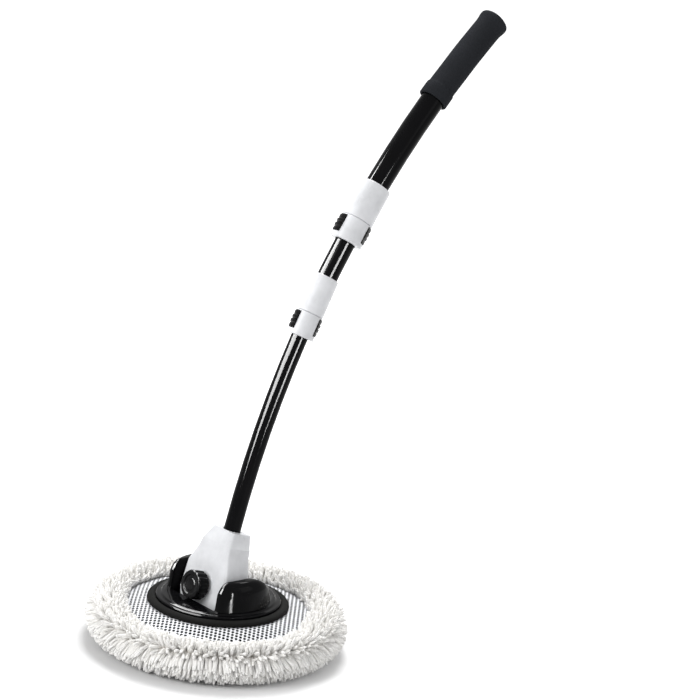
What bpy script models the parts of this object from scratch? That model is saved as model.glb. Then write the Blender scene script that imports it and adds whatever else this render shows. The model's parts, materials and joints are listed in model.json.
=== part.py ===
import bpy
import bmesh
from math import acos, asin, cos, pi, radians, sin
from mathutils import Vector

# Shared clearances and mesh density
GAP = 0.0003
RUN_GAP = 0.0004
OVERRUN = 0.002
POLE_SIDES = 20
HEAD_SIDES = 40
SCREW_SIDES = 8
INNER_SIDES = 16
ARC_STEP = radians(2)
SMOOTH_ANGLE = radians(32)

# Pole arc, with stations measured up from the cross axle
LEAN = radians(11.6)
ARC_RADIUS = 1.0476
ARC_START = 0.045

# Pile and backing under the head
PILE_DROP = 0.012
BACKING_THICKNESS = 0.003
UNDERSIDE_RADIUS = 0.098
UNDERSIDE_COLUMNS = 32
UNDERSIDE_OUTER_SHARES = (1.0, 0.90, 0.80, 0.695, 0.59)
UNDERSIDE_INNER_SHARES = (0.51, 0.41, 0.31, 0.205)
UNDERSIDE_CENTRE_SHARE = 0.092
STRAND_TAPER_SHARE = 0.66

# Pile rim
RIM_WIDTH = 0.0116
RIM_CENTRE_HEIGHT = 0.027
RIM_HALF_WIDTH = 0.0145
RIM_HALF_HEIGHT = 0.017
RIM_STRAND = 0.010
RIM_SECTORS = 8
RIM_COLUMNS = 8
RIM_ROWS = 7
RIM_FROM = radians(135)
RIM_TO = radians(-75)
RIM_TOP_DROP = 0.0008
RIM_FOOT = 0.0095

# Foam core and base plate
CORE_THICKNESS = 0.0155
CORE_CLEARANCE = 0.0005
PLATE_THICKNESS = 0.0057
PLATE_OVERHANG = 0.0010

# Housing
WALL_RADIUS = 0.0632
FLANGE_WIDTH = 0.0080
FLANGE_THICKNESS = 0.0060
WALL_THICKNESS = 0.003
LIP_OVERHANG = 0.0026
LIP_RISE = 0.0056
LIP_THICKNESS = 0.0022
LIP_ROUND = 0.0010
TIER_INSET = 0.0028
TIER_RISE = 0.0014
TIER_ROUND = 0.0010
CAVITY_ROOF = 0.0035
CORE_BLOCK_INSET = 0.0105
COVER_SLACK = 0.0028

# Neck, with its profile in shares of its length, half width and front depth
NECK_LEAN = radians(13.8)
NECK_FRONT = 0.0222
NECK_BACK = 0.0105
NECK_TOP = 0.0622
NECK_FOOT = 0.0195
NECK_HALF_WIDTH = 0.0346
NECK_SHARES = (
    (0.0, 0.873, 1.0),
    (0.05, 0.94, 1.0),
    (0.116, 1.0, 1.0),
    (0.47, 0.962, 1.0),
    (0.58, 0.853, 0.97),
    (0.70, 0.734, 0.93),
    (0.82, 0.685, 0.88),
    (0.83, 0.66, 0.87),
    (1.0, 0.515, 0.62),
)
NECK_CHAMFER = 0.0030
NECK_FRONT_WALL = 0.0050
NECK_BACK_WALL = 0.0035
NECK_SLOT_TOP = 0.0136
NECK_HEEL = 0.0135
NECK_SWAY = radians(8)
SOCKET_FLOOR = 0.027

# Cross joint
AXLE_RADIUS = 0.006
AXLE_COVER = 0.0075
HUB_RADIUS = 0.0125
BOLT_RADIUS = 0.003
BOLT_HEAD_RADIUS = 0.0062
BOLT_HEAD_HEIGHT = 0.0035
BOLT_HEAD_ROUND = 0.0010
WASHER_RADIUS = 0.010
WASHER_THICKNESS = 0.0012

# Well and cheeks of the housing
PIVOT_FORWARD = 0.0024
WELL_CLEARANCE = 0.0010
CHEEK_GAP = 0.0024
CHEEK_INSET = 0.0067
CHEEK_HALF_LENGTH = 0.036
CHEEK_WALL = 0.017
CHEEK_HEIGHT = 0.0296
CHEEK_CORNER = 0.006
CHEEK_ARC_POINTS = 6
CHEEK_ROOT = 0.002
CHEEK_LEVEL_SHARES = (
    (0.60, 0.975, 0.94, 0.82, 0.0),
    (0.82, 0.935, 0.85, 0.62, 0.03),
    (0.95, 0.885, 0.76, 0.42, 0.08),
    (1.0, 0.835, 0.66, 0.24, 0.14),
)

# Clamp knob
KNOB_RADIUS = 0.0154
KNOB_LENGTH = 0.0145
KNOB_LOBES = 14
KNOB_LOBE_STEPS = 3
KNOB_GROOVE = 0.0011
KNOB_ROUND = 0.0014
KNOB_BACK_RADIUS = 0.0132
KNOB_FACE_RADIUS = 0.0102
KNOB_RECESS = 0.0012
KNOB_BUTTON_RADIUS = 0.0066
KNOB_BORE_DEPTH = 0.009

# Tubes
UPPER_TUBE_RADIUS = 0.013
MIDDLE_TUBE_RADIUS = 0.01125
LOWER_TUBE_RADIUS = 0.00925
TUBE_WALL = 0.001
LOWER_TUBE_HEADROOM = 0.1210
MIDDLE_TUBE_HEADROOM = 0.0500
GUIDE_LENGTH = 0.006
PLUG_SPIGOT = 0.007
PLUG_FLANGE = 0.002

# Twist locks
LOWER_SPAN = 0.2142
MIDDLE_SPAN = 0.0417
RING_LENGTH = 0.026
LOWER_COLLAR_LENGTH = 0.0415
UPPER_COLLAR_LENGTH = 0.0419
LOCK_WALL_SHARE = 0.35
RING_FLOOR = 0.005
SPIGOT_LENGTH = 0.010
SPIGOT_WALL = 0.0012
COLLAR_SEAT = 0.010
COLLAR_TAPER = 0.0011
RING_FLARE = 0.0004
EDGE_ROUND = 0.0007
LOWER_LOCK_RADIUS = 0.0146
UPPER_LOCK_RADIUS = 0.0176
PADS_PER_RING = 3
PAD_HALF_ANGLE = radians(24)
PAD_STEPS = 3
PAD_FOOT_MARGIN = 0.0054
PAD_TOP_MARGIN = 0.0016
PAD_DEPTH = 0.0009
PAD_PROUD = 0.0010
PAD_RIBS = 4
PAD_PHASE = radians(37)
PAD_SPACING = radians(108)

# Grip
UPPER_SPAN = 0.1118
GRIP_LENGTH = 0.1160
GRIP_RADIUS = 0.0153
GRIP_BAND_RADIUS = 0.0164
GRIP_BAND_LENGTH = 0.015
GRIP_BAND_TAPER = 0.0004
GRIP_STEP = 0.0010
GRIP_CAP = 0.006
GRIP_FLARE_LENGTH = 0.010
GRIP_FLARE_RADIUS = 0.0165
GRIP_CAP_ROUND = 0.0028
GRIP_DOME = 0.0016

# Cover net and binding
NET_THICKNESS = 0.0008
NET_COLUMNS = 50
NET_ROWS = 3
NET_BAR_SHARE = 0.36
BINDING_WIDTH = 0.0086
BINDING_OVERLAP = 0.0008
BINDING_CROWN = 0.0016
BINDING_SIDE = 0.0034
BINDING_TUCK = 0.0030

# Plate and neck screws
SCREW_RADIUS = 0.0015
SCREW_HEAD_RADIUS = 0.0034
SCREW_HEAD_HEIGHT = 0.0024
PLATE_SCREWS = 4
NECK_SCREW_RADIUS = 0.0016
NECK_SCREW_HEAD_RADIUS = 0.0030
NECK_SCREW_HEAD = 0.0018
NECK_SCREW_STATION = 0.044
NECK_SCREW_REACH = 0.0025

# Heights and radii that follow from the stack
BACKING_TOP = PILE_DROP + BACKING_THICKNESS
CORE_BOTTOM = BACKING_TOP + GAP
CORE_TOP = CORE_BOTTOM + CORE_THICKNESS
PLATE_BOTTOM = CORE_TOP + GAP
PLATE_TOP = PLATE_BOTTOM + PLATE_THICKNESS
HOUSING_BOTTOM = PLATE_TOP + GAP
FLANGE_TOP = HOUSING_BOTTOM + FLANGE_THICKNESS
NET_BOTTOM = FLANGE_TOP + GAP
NET_TOP = NET_BOTTOM + NET_THICKNESS
NET_FALL = NET_BOTTOM - PLATE_TOP - GAP
BINDING_BOTTOM = NET_TOP + GAP
LIP_BOTTOM = FLANGE_TOP + LIP_RISE
LIP_TOP = LIP_BOTTOM + LIP_THICKNESS
PLATFORM = LIP_TOP + LIP_ROUND + TIER_RISE
LIP_RADIUS = WALL_RADIUS + LIP_OVERHANG
LIP_CLEAR = LIP_RADIUS + GAP
BINDING_RADIUS = LIP_CLEAR + BINDING_WIDTH
FLANGE_RADIUS = WALL_RADIUS + FLANGE_WIDTH
TIER_RADIUS = WALL_RADIUS - TIER_INSET
CHEEK_RADIUS = WALL_RADIUS - CHEEK_INSET
CHEEK_FACE = NECK_HALF_WIDTH + CHEEK_GAP
RIM_INNER = UNDERSIDE_RADIUS + COVER_SLACK
NET_OUTER = RIM_INNER - GAP
NET_INNER = WALL_RADIUS + RUN_GAP
RIM_CENTRE = RIM_INNER + RIM_WIDTH

# Room for the foot of the neck as it sways and tilts
NECK_LENGTH = NECK_FOOT + NECK_TOP
FOOT_REACH = NECK_HALF_WIDTH * NECK_SHARES[0][1]
FOOT_SWING = NECK_FOOT * cos(NECK_SWAY) + FOOT_REACH * sin(NECK_SWAY)
HEEL_SWING = NECK_HEEL * cos(NECK_SWAY) + NECK_HALF_WIDTH * sin(NECK_SWAY)
AXLE_HEIGHT = PLATE_TOP + FOOT_SWING + WELL_CLEARANCE
WELL_FRONT = (FOOT_SWING ** 2 + NECK_FRONT ** 2) ** 0.5 + WELL_CLEARANCE
WELL_BACK = (HEEL_SWING ** 2 + NECK_BACK ** 2) ** 0.5 + WELL_CLEARANCE

# Stations along the pole
LOWER_LOCK_STATION = NECK_TOP + LOWER_SPAN
LOWER_COLLAR_TOP = LOWER_LOCK_STATION + RING_LENGTH + GAP + LOWER_COLLAR_LENGTH
UPPER_LOCK_STATION = LOWER_COLLAR_TOP + MIDDLE_SPAN
UPPER_COLLAR_TOP = UPPER_LOCK_STATION + RING_LENGTH + GAP + UPPER_COLLAR_LENGTH
GRIP_FOOT_STATION = UPPER_COLLAR_TOP + UPPER_SPAN
GRIP_TOP_STATION = GRIP_FOOT_STATION + GRIP_LENGTH
PLUG_TOP = GRIP_TOP_STATION - GRIP_CAP - GAP
UPPER_TOP = PLUG_TOP - PLUG_FLANGE - GAP
MIDDLE_TOP = UPPER_TOP - PLUG_SPIGOT - MIDDLE_TUBE_HEADROOM
LOWER_TUBE_TOP = MIDDLE_TOP - LOWER_TUBE_HEADROOM

PIVOT = Vector((0, -PIVOT_FORWARD, AXLE_HEIGHT))
SIDE = Vector((1, 0, 0))
UP = Vector((0, 0, 1))
RISE = Vector((0, sin(NECK_LEAN), cos(NECK_LEAN)))
BACK = Vector((0, cos(NECK_LEAN), -sin(NECK_LEAN)))
ARC_RISE = Vector((0, sin(LEAN), cos(LEAN)))
ARC_BACK = Vector((0, cos(LEAN), -sin(LEAN)))
ARC_CENTRE = PIVOT + ARC_RISE * ARC_START + ARC_BACK * ARC_RADIUS
ZERO = Vector((0, 0, 0))

for old in list(bpy.data.objects):
    bpy.data.objects.remove(old)

LOOKS = {
    "black_gloss": ((0.012, 0.012, 0.013, 1), 0.12, 0),
    "black_tube": ((0.010, 0.010, 0.011, 1), 0.10, 0),
    "black_satin": ((0.020, 0.021, 0.022, 1), 0.38, 0),
    "black_foam": ((0.022, 0.024, 0.026, 1), 0.85, 0),
    "black_band": ((0.018, 0.018, 0.017, 1), 0.75, 0),
    "white_gloss": ((0.86, 0.86, 0.87, 1), 0.22, 0),
    "white_net": ((0.80, 0.81, 0.83, 1), 0.80, 0),
    "pile": ((0.79, 0.76, 0.71, 1), 0.95, 0),
    "core_foam": ((0.75, 0.74, 0.70, 1), 0.95, 0),
    "steel": ((0.62, 0.62, 0.63, 1), 0.28, 1),
    "nylon": ((0.55, 0.55, 0.54, 1), 0.45, 0),
}


def look(name, kind):
    colour, rough, metal = LOOKS[kind]
    material = bpy.data.materials.new(name + "_look")
    material.use_nodes = True
    shader = material.node_tree.nodes["Principled BSDF"]
    shader.inputs["Base Color"].default_value = colour
    shader.inputs["Roughness"].default_value = rough
    shader.inputs["Metallic"].default_value = metal
    material.diffuse_color = colour
    return material


def solid(name, points, faces, kind, origin=ZERO):
    mesh = bpy.data.meshes.new(name)
    mesh.from_pydata([point - origin for point in points], [], faces)
    form = bmesh.new()
    form.from_mesh(mesh)
    bmesh.ops.recalc_face_normals(form, faces=form.faces)
    form.to_mesh(mesh)
    form.free()
    piece = bpy.data.objects.new(name, mesh)
    piece.location = origin
    bpy.context.collection.objects.link(piece)
    if kind:
        mesh.materials.append(look(name, kind))
        mesh.shade_smooth()
        mesh.set_sharp_from_angle(angle=SMOOTH_ANGLE)
    else:
        piece.hide_render = True
        piece.display_type = "WIRE"
    return piece


def combine(piece, tool, operation):
    change = piece.modifiers.new(tool.name, "BOOLEAN")
    change.operation = operation
    change.solver = "EXACT"
    change.object = tool


def cut(piece, tool):
    combine(piece, tool, "DIFFERENCE")


def add(piece, tool):
    combine(piece, tool, "UNION")


def spin(place, loop, sides, closed, lobes=None):
    points = []
    rings = []
    for index, (along, radius) in enumerate(loop):
        if radius == 0:
            rings.append([len(points)])
            points.append(place(along, 0, 0))
            continue
        ring = []
        for step in range(sides):
            angle = 2 * pi * step / sides
            reach = radius
            if lobes and index in lobes[0]:
                reach = radius - lobes[1](step)
            ring.append(len(points))
            points.append(place(along, reach * cos(angle), reach * sin(angle)))
        rings.append(ring)
    faces = []
    pairs = list(zip(rings, rings[1:]))
    if closed:
        pairs.append((rings[-1], rings[0]))
    for low, high in pairs:
        for step in range(sides):
            after = (step + 1) % sides
            if len(low) == 1:
                faces.append((low[0], high[step], high[after]))
            elif len(high) == 1:
                faces.append((low[step], low[after], high[0]))
            else:
                faces.append((low[step], low[after], high[after], high[step]))
    return points, faces


def turned(name, loop, kind, axis, closed=False, centre=ZERO, sides=SCREW_SIDES, lobes=None):
    first = axis.orthogonal().normalized()
    if abs(axis.dot(SIDE)) < cos(SMOOTH_ANGLE):
        first = SIDE
    second = axis.cross(first)

    def place(along, across, over):
        return centre + axis * along + first * across + second * over

    points, faces = spin(place, loop, sides, closed, lobes)
    return solid(name, points, faces, kind, centre)


def arc_frame(station):
    angle = LEAN + (station - ARC_START) / ARC_RADIUS
    outward = Vector((0, cos(angle), -sin(angle)))
    return ARC_CENTRE - outward * ARC_RADIUS, outward


def arc_point(station, across, over):
    middle, outward = arc_frame(station)
    return middle + SIDE * across + outward * over


def stepped(loop, closed):
    pairs = list(zip(loop, loop[1:]))
    if closed:
        pairs.append((loop[-1], loop[0]))
    fine = []
    for (station, radius), (after, width) in pairs:
        count = max(1, round(abs(after - station) / (ARC_RADIUS * ARC_STEP)))
        for step in range(count):
            share = step / count
            fine.append((station + (after - station) * share, radius + (width - radius) * share))
    if not closed:
        fine.append(loop[-1])
    return fine


def bent(name, loop, kind, closed, origin=ARC_CENTRE, sides=POLE_SIDES):
    points, faces = spin(arc_point, stepped(loop, closed), sides, closed)
    return solid(name, points, faces, kind, origin)


def bent_sector(name, loop, kind, middle, half, steps, origin=ARC_CENTRE):
    points = []
    for step in range(steps + 1):
        angle = middle - half + 2 * half * step / steps
        for station, radius in loop:
            points.append(arc_point(station, radius * cos(angle), radius * sin(angle)))
    size = len(loop)
    faces = [tuple(range(size)), tuple(range(size * steps, size * steps + size))]
    for step in range(steps):
        for index in range(size):
            after = (index + 1) % size
            low = size * step
            high = low + size
            faces.append((low + index, low + after, high + after, high + index))
    return solid(name, points, faces, kind, origin)


def layered(name, levels, kind, place, origin=ZERO):
    points = []
    for outline, depth in levels:
        for across, along in outline:
            points.append(place(across, along, depth))
    size = len(levels[0][0])
    faces = []
    for first in (0, size * (len(levels) - 1)):
        for step in range(size // 2 - 1):
            low = first + step
            high = first + size - 1 - step
            faces.append((low, low + 1, high - 1, high))
    for level in range(len(levels) - 1):
        for index in range(size):
            after = (index + 1) % size
            low = size * level
            high = low + size
            faces.append((low + index, low + after, high + after, high + index))
    return solid(name, points, faces, kind, origin)


def neck_place(across, along, depth):
    return PIVOT + SIDE * across + RISE * along + BACK * depth


def upright_place(across, along, depth):
    return Vector((across, along, depth))


def box_outline(half_width, low, high):
    return [(-half_width, low), (half_width, low), (half_width, high), (-half_width, high)]


def ring_loop(inner, outer, low, high):
    return [(low, inner), (low, outer), (high, outer), (high, inner)]


# Strands: each cell of the backing grows into a tapered tip, cut flat at the floor
def grow_strand(points, faces, cell, shift):
    middle = sum((points[index] for index in cell), ZERO) / len(cell)
    tip = []
    for index in cell:
        end = middle + (points[index] - middle) * STRAND_TAPER_SHARE + shift
        end.z = max(end.z, 0)
        tip.append(len(points))
        points.append(end)
    for index in range(len(cell)):
        beyond = (index + 1) % len(cell)
        faces.append((cell[index], cell[beyond], tip[beyond], tip[index]))
    faces.append(tuple(tip))


# Pile on the underside: strands on a slice of backing
def underside_point(radius, turn, height):
    angle = 2 * pi * turn
    return Vector((radius * cos(angle), radius * sin(angle), height))


def underside():
    half_columns = UNDERSIDE_COLUMNS // 2
    points = []
    faces = []
    rings = []
    for share in UNDERSIDE_OUTER_SHARES:
        rings.append((UNDERSIDE_RADIUS * share, UNDERSIDE_COLUMNS))
    for share in UNDERSIDE_INNER_SHARES:
        rings.append((UNDERSIDE_RADIUS * share, half_columns))
    starts = []
    for radius, columns in rings:
        starts.append(len(points))
        for column in range(columns):
            points.append(underside_point(radius, column / columns, PILE_DROP))
    for row in range(len(rings) - 1):
        radius, columns = rings[row]
        below = rings[row + 1][1]
        if columns != below:
            for column in range(below):
                after = (column + 1) % below
                outer = [starts[row] + (2 * column + shift) % columns for shift in range(3)]
                faces.append((*outer, starts[row + 1] + after, starts[row + 1] + column))
            continue
        for column in range(columns):
            after = (column + 1) % columns
            outer = [starts[row] + column, starts[row] + after]
            cell = outer + [starts[row + 1] + after, starts[row + 1] + column]
            if (row + column) % 2:
                faces.append(tuple(cell))
                continue
            grow_strand(points, faces, cell, UP * -PILE_DROP)
    centre_radius = UNDERSIDE_RADIUS * UNDERSIDE_CENTRE_SHARE
    corners = []
    for corner in range(4):
        corners.append(len(points))
        points.append(underside_point(centre_radius, corner / 4, PILE_DROP))
    quarter = half_columns // 4
    for corner in range(4):
        arc = [starts[-1] + (quarter * corner + step) % half_columns for step in range(quarter + 1)]
        faces.append((*arc, corners[(corner + 1) % 4], corners[corner]))
    grow_strand(points, faces, corners, UP * -PILE_DROP)
    top = len(points)
    for column in range(UNDERSIDE_COLUMNS):
        points.append(underside_point(UNDERSIDE_RADIUS, column / UNDERSIDE_COLUMNS, BACKING_TOP))
    faces.append(tuple(top + column for column in range(UNDERSIDE_COLUMNS)))
    for column in range(UNDERSIDE_COLUMNS):
        after = (column + 1) % UNDERSIDE_COLUMNS
        faces.append((column, after, top + after, top + column))
    return solid("pile_underside", points, faces, "pile")


# Pile rim: each sector is a slice of backing with its strands
def rim_point(angle, grow, turn):
    across = RIM_CENTRE + (RIM_HALF_WIDTH + grow) * cos(angle)
    height = RIM_CENTRE_HEIGHT + (RIM_HALF_HEIGHT + grow) * sin(angle)
    return Vector((across * cos(turn), across * sin(turn), max(height, 0)))


def rim_sector(number):
    width = 2 * pi / RIM_SECTORS
    slack = GAP / 2 / RIM_INNER
    start = width * number + slack
    reach = width - 2 * slack
    points = []
    faces = []
    for column in range(RIM_COLUMNS + 1):
        turn = start + reach * column / RIM_COLUMNS
        for row in range(RIM_ROWS + 1):
            angle = RIM_FROM + (RIM_TO - RIM_FROM) * row / RIM_ROWS
            points.append(rim_point(angle, 0, turn))
        points.append(Vector((RIM_INNER * cos(turn), RIM_INNER * sin(turn), RIM_FOOT)))
        top = NET_TOP - NET_FALL - RIM_TOP_DROP
        points.append(Vector((RIM_INNER * cos(turn), RIM_INNER * sin(turn), top)))
    size = RIM_ROWS + 3
    for column in range(RIM_COLUMNS):
        for row in range(size):
            after = (row + 1) % size
            low = size * column
            cell = [low + row, low + after, low + size + after, low + size + row]
            if row >= RIM_ROWS or (row + column) % 2:
                faces.append(tuple(cell))
                continue
            angle = RIM_FROM + (RIM_TO - RIM_FROM) * (row + 0.5) / RIM_ROWS
            turn = start + reach * (column + 0.5) / RIM_COLUMNS
            middle = sum((points[index] for index in cell), ZERO) / len(cell)
            grow_strand(points, faces, cell, rim_point(angle, RIM_STRAND, turn) - middle)
    last = size * RIM_COLUMNS
    faces.append(tuple(range(size)))
    faces.append(tuple(range(last, last + size)))
    return solid("pile_rim_" + str(number + 1), points, faces, "pile")


underside()
for sector in range(RIM_SECTORS):
    rim_sector(sector)

# Foam core inside the cover
CORE_RADIUS = UNDERSIDE_RADIUS - CORE_CLEARANCE
core_loop = [(CORE_BOTTOM, 0), (CORE_BOTTOM, CORE_RADIUS), (CORE_TOP, CORE_RADIUS), (CORE_TOP, 0)]
turned("foam_core", core_loop, "core_foam", UP, sides=HEAD_SIDES)

# Base plate with counterbored screw holes
PLATE_RADIUS = UNDERSIDE_RADIUS + PLATE_OVERHANG
plate_loop = [
    (PLATE_BOTTOM, 0),
    (PLATE_BOTTOM, PLATE_RADIUS),
    (PLATE_TOP, PLATE_RADIUS),
    (PLATE_TOP, 0),
]
base_plate = turned("base_plate", plate_loop, "black_satin", UP, sides=HEAD_SIDES)

# Housing: flange, wall, lip and platform
CORE_BLOCK_RADIUS = WALL_RADIUS - WALL_THICKNESS - CORE_BLOCK_INSET
housing_loop = [
    (HOUSING_BOTTOM, 0),
    (HOUSING_BOTTOM, CORE_BLOCK_RADIUS),
    (PLATFORM - CAVITY_ROOF, CORE_BLOCK_RADIUS),
    (PLATFORM - CAVITY_ROOF, WALL_RADIUS - WALL_THICKNESS - CAVITY_ROOF),
    (LIP_BOTTOM - CAVITY_ROOF, WALL_RADIUS - WALL_THICKNESS),
    (HOUSING_BOTTOM, WALL_RADIUS - WALL_THICKNESS),
    (HOUSING_BOTTOM, FLANGE_RADIUS),
    (FLANGE_TOP, FLANGE_RADIUS),
    (FLANGE_TOP, WALL_RADIUS),
    (LIP_BOTTOM, WALL_RADIUS),
    (LIP_BOTTOM + GAP, LIP_RADIUS),
    (LIP_TOP, LIP_RADIUS),
    (LIP_TOP + LIP_ROUND, LIP_RADIUS - LIP_ROUND),
    (LIP_TOP + LIP_ROUND, TIER_RADIUS + TIER_ROUND),
    (PLATFORM - TIER_ROUND, TIER_RADIUS),
    (PLATFORM, TIER_RADIUS - TIER_ROUND),
    (PLATFORM, 0),
]
housing = turned("head_housing", housing_loop, "black_gloss", UP, sides=HEAD_SIDES)


def rounded(outline, radius):
    smooth = []
    count = len(outline)
    for index in range(count):
        before = Vector(outline[index - 1])
        corner = Vector(outline[index])
        after = Vector(outline[(index + 1) % count])
        into = (before - corner).normalized()
        away = (after - corner).normalized()
        if acos(max(-1, min(1, into.dot(away)))) > pi - SMOOTH_ANGLE:
            smooth.append(tuple(corner))
            continue
        reach = min(radius, (before - corner).length / 2, (after - corner).length / 2)
        start = corner + into * reach
        end = corner + away * reach
        smooth.append(tuple(start))
        smooth.append(tuple((start + end + corner * 2) / 4))
        smooth.append(tuple(end))
    return smooth


def cheek_outline(side, reach, front, back, inset):
    face = CHEEK_FACE + inset
    start = asin(-front / reach)
    sweep = asin(back / reach) - start
    outline = [(side * face, -front)]
    for step in range(CHEEK_ARC_POINTS):
        angle = start + sweep * step / (CHEEK_ARC_POINTS - 1)
        outline.append((side * reach * cos(angle), reach * sin(angle)))
    outline.append((side * face, back))
    return rounded(outline, CHEEK_CORNER)


for side, side_name in ((-1, "left"), (1, "right")):
    half = CHEEK_HALF_LENGTH
    levels = [(cheek_outline(side, CHEEK_RADIUS, half, half, 0), PLATFORM - CHEEK_ROOT)]
    for rise_share, radius_share, front_share, back_share, face_share in CHEEK_LEVEL_SHARES:
        reach = CHEEK_RADIUS * radius_share
        inset = CHEEK_WALL * face_share
        outline = cheek_outline(side, reach, half * front_share, half * back_share, inset)
        levels.append((outline, PLATFORM + CHEEK_HEIGHT * rise_share))
    add(housing, layered(side_name + "_cheek", levels, None, upright_place))

well = box_outline(CHEEK_FACE, PIVOT.y - WELL_FRONT, PIVOT.y + WELL_BACK)
well_levels = [(well, HOUSING_BOTTOM - OVERRUN), (well, PLATFORM + OVERRUN)]
cut(housing, layered("well_tool", well_levels, None, upright_place))
AXLE_END = CHEEK_RADIUS - AXLE_COVER
bore_loop = [
    (-AXLE_END - GAP, 0),
    (-AXLE_END - GAP, AXLE_RADIUS + GAP),
    (AXLE_END + GAP, AXLE_RADIUS + GAP),
    (AXLE_END + GAP, 0),
]
cut(housing, turned("axle_bore_tool", bore_loop, None, SIDE, centre=PIVOT, sides=POLE_SIDES))

# Screws that hold the base plate under the housing flange
SCREW_CIRCLE = (WALL_RADIUS - WALL_THICKNESS + FLANGE_RADIUS) / 2
SCREW_HEAD_BOTTOM = PLATE_BOTTOM
SCREW_TIP = FLANGE_TOP - GAP
for number in range(PLATE_SCREWS):
    turn = 2 * pi * (number + 0.5) / PLATE_SCREWS
    spot = Vector((SCREW_CIRCLE * cos(turn), SCREW_CIRCLE * sin(turn), 0))
    head_top = SCREW_HEAD_BOTTOM + SCREW_HEAD_HEIGHT
    screw_loop = [
        (SCREW_HEAD_BOTTOM, 0),
        (SCREW_HEAD_BOTTOM, SCREW_HEAD_RADIUS),
        (head_top, SCREW_HEAD_RADIUS),
        (head_top, SCREW_RADIUS),
        (SCREW_TIP, SCREW_RADIUS),
        (SCREW_TIP, 0),
    ]
    turned("plate_screw_" + str(number + 1), screw_loop, "steel", UP, centre=spot)
    hole_loop = [
        (SCREW_HEAD_BOTTOM - OVERRUN, 0),
        (SCREW_HEAD_BOTTOM - OVERRUN, SCREW_HEAD_RADIUS + GAP),
        (head_top + GAP, SCREW_HEAD_RADIUS + GAP),
        (head_top + GAP, SCREW_RADIUS + GAP),
        (FLANGE_TOP + OVERRUN, SCREW_RADIUS + GAP),
        (FLANGE_TOP + OVERRUN, 0),
    ]
    hole = turned("plate_screw_tool_" + str(number + 1), hole_loop, None, UP, centre=spot)
    cut(base_plate, hole)
    cut(housing, hole)

# Elastic binding that grips the housing wall under the lip
BINDING_INNER = WALL_RADIUS + GAP
BINDING_TOP = LIP_BOTTOM + BINDING_OVERLAP
binding_loop = [
    (BINDING_BOTTOM, BINDING_INNER),
    (LIP_BOTTOM - GAP, BINDING_INNER),
    (LIP_BOTTOM - GAP, LIP_CLEAR),
    (BINDING_TOP, LIP_CLEAR + BINDING_WIDTH / 6),
    (BINDING_TOP + BINDING_OVERLAP / 4, LIP_CLEAR + BINDING_WIDTH / 2),
    (BINDING_TOP - BINDING_CROWN, BINDING_RADIUS - BINDING_CROWN),
    (BINDING_TOP - BINDING_SIDE, BINDING_RADIUS),
    (BINDING_BOTTOM, BINDING_RADIUS - BINDING_TUCK),
]
turned("cover_binding", binding_loop, "black_band", UP, closed=True, sides=HEAD_SIDES)


# Open net between the binding and the pile rim
def net():
    edge = BINDING_RADIUS
    pitch = (NET_OUTER - edge) / (NET_ROWS + NET_BAR_SHARE)
    bar = pitch * NET_BAR_SHARE
    radii = [NET_INNER]
    for row in range(NET_ROWS):
        radii.append(edge + pitch * row + bar)
        radii.append(edge + pitch * (row + 1))
    radii.append(NET_OUTER)
    turns = []
    for column in range(NET_COLUMNS):
        turns.append(column / NET_COLUMNS)
        turns.append((column + NET_BAR_SHARE) / NET_COLUMNS)
    points = []
    for height in (NET_BOTTOM, NET_TOP):
        for radius in radii:
            fall = NET_FALL * max(radius - edge - bar, 0) / (NET_OUTER - edge - bar)
            for turn in turns:
                points.append(underside_point(radius, turn, height - fall))
    columns = len(turns)
    layer = len(radii) * columns
    faces = []
    filled = {}
    for row in range(len(radii) - 1):
        for column in range(columns):
            filled[row, column] = row % 2 == 0 or column % 2 == 0
    for (row, column), full in filled.items():
        after = (column + 1) % columns
        low = row * columns
        high = low + columns
        cell = (low + column, low + after, high + after, high + column)
        if full:
            faces.append(cell)
            faces.append(tuple(layer + index for index in cell))
        if full and not filled[row, after]:
            faces.append((cell[1], cell[2], cell[2] + layer, cell[1] + layer))
        if full and not filled[row, column - 1 if column else columns - 1]:
            faces.append((cell[0], cell[3], cell[3] + layer, cell[0] + layer))
        if full and not filled.get((row + 1, column), False):
            faces.append((cell[3], cell[2], cell[2] + layer, cell[3] + layer))
        if full and not filled.get((row - 1, column), False):
            faces.append((cell[0], cell[1], cell[1] + layer, cell[0] + layer))
    return solid("cover_net", points, faces, "white_net")


net()


# Neck: a flat-faced clevis with a socket for the pole
def neck_outline(inset):
    right = []
    left = []
    for number, (along_share, width_share, depth_share) in enumerate(NECK_SHARES):
        across = NECK_HALF_WIDTH * width_share - inset
        right.append((across, number))
        left.append((-across, number))
    return right + left[::-1]


def neck_body_place(across, number, depth_share):
    along_share, width_share, front_share = NECK_SHARES[number]
    front = NECK_FRONT * front_share
    depth = (front + NECK_BACK) * depth_share - front
    return neck_place(across, NECK_LENGTH * along_share - NECK_FOOT, depth)


CHAMFER_SHARE = NECK_CHAMFER / (NECK_FRONT + NECK_BACK)
neck_levels = [
    (neck_outline(NECK_CHAMFER), 0),
    (neck_outline(NECK_CHAMFER / 4), CHAMFER_SHARE / 2),
    (neck_outline(0), CHAMFER_SHARE * 5 / 4),
    (neck_outline(0), 1 - CHAMFER_SHARE * 5 / 4),
    (neck_outline(NECK_CHAMFER / 4), 1 - CHAMFER_SHARE / 2),
    (neck_outline(NECK_CHAMFER), 1),
]
neck = layered("neck", neck_levels, "white_gloss", neck_body_place, PIVOT)
SLOT_FRONT = NECK_FRONT - NECK_FRONT_WALL
SLOT_BACK = NECK_BACK - NECK_BACK_WALL
slot = box_outline(NECK_HALF_WIDTH + OVERRUN, -NECK_FOOT - OVERRUN, NECK_SLOT_TOP)
cut(neck, layered("slot_tool", [(slot, -SLOT_FRONT), (slot, SLOT_BACK)], None, neck_place))
heel = box_outline(NECK_HALF_WIDTH + OVERRUN, -NECK_FOOT - OVERRUN, -NECK_HEEL)
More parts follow.
